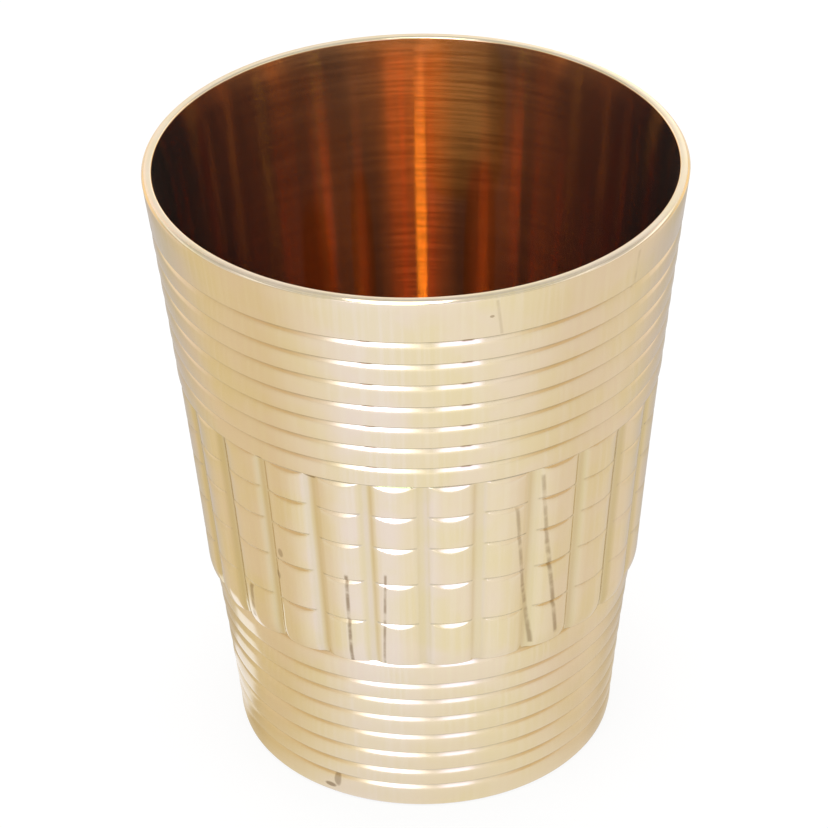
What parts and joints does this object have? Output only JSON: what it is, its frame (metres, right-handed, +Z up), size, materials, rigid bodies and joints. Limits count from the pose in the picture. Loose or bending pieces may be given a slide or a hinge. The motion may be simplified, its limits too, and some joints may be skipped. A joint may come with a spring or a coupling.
{
  "type": "tumbler",
  "caption": "Brass drinking tumbler: tapered wall with turned rings above and below a band of upright ribs cut by small nicks, plain flat rim with eased edges and a flat soldered-in base.",
  "frame": {"origin": "centre of the foot's resting face", "axes": "+Z up along the tumbler's axis, front towards -Y, +X to the right"},
  "size_m": [0.075, 0.075, 0.0913],
  "materials": {
    "polished_brass": "polished pale brass outside, brushed round inside",
    "base_brass": "turned brass with fine concentric marks",
    "solder": "dull grey tin solder"
  },
  "bodies": {
    "root": {"tumbler_wall": "polished_brass", "base_disc": "base_brass", "solder_seam": "solder"}
  },
  "joints": []
}
